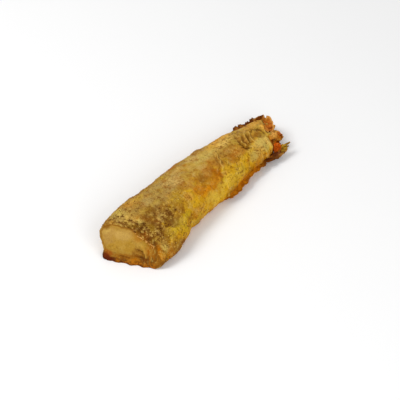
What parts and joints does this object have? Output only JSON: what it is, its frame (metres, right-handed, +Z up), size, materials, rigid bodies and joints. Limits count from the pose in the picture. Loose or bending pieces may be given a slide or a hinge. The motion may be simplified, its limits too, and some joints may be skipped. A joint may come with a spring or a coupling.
{
  "type": "fried headless hake",
  "caption": "Whole fried fish without its head, lying on its side, with a cut flesh face, golden crust, crisped fin strips and a torn tail end.",
  "frame": {"origin": "under the middle of the bounding box, on the surface that the fish lies on", "axes": "+X from the head cut to the tail, +Y towards the back, -Y towards the belly, +Z up out of the upper flank"},
  "size_m": [0.2844, 0.082, 0.0468],
  "materials": {
    "fried_skin": "satin"
  },
  "bodies": {
    "root": {"headless_hake": "fried_skin"}
  },
  "joints": []
}
